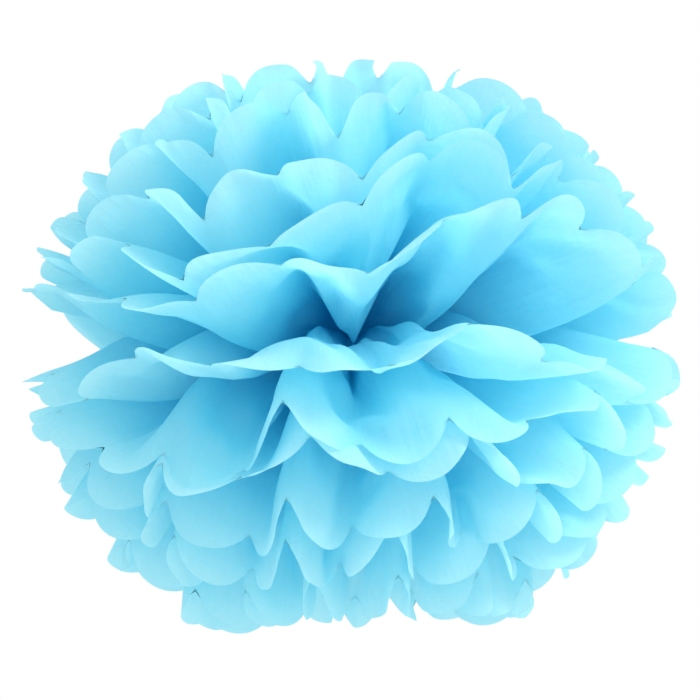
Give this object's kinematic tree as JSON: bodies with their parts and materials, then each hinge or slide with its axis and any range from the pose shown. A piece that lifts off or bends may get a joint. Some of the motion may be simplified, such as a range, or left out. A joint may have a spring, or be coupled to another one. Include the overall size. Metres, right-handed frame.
{
  "type": "tissue paper pom pom",
  "caption": "Fluffy ball of pleated tissue paper sheets with rounded petal ends, gathered at the middle by a wire tie, for hanging as a party decoration.",
  "frame": {"origin": "middle of the wire tie that gathers the pleated sheets", "axes": "+Z along the pole that the upper sheets are peeled towards, +Y along the length of the folded strip, +X across it"},
  "size_m": [0.2536, 0.2472, 0.2165],
  "materials": {
    "tissue": "matt, thin and translucent",
    "tie_wire": "satin enamel"
  },
  "bodies": {
    "root": {"sheet_01": "tissue", "sheet_02": "tissue", "sheet_03": "tissue", "sheet_04": "tissue", "sheet_05": "tissue", "sheet_06": "tissue", "sheet_07": "tissue", "sheet_08": "tissue", "sheet_09": "tissue", "sheet_10": "tissue", "sheet_11": "tissue", "sheet_12": "tissue", "tie_wire": "tie_wire"}
  },
  "joints": []
}
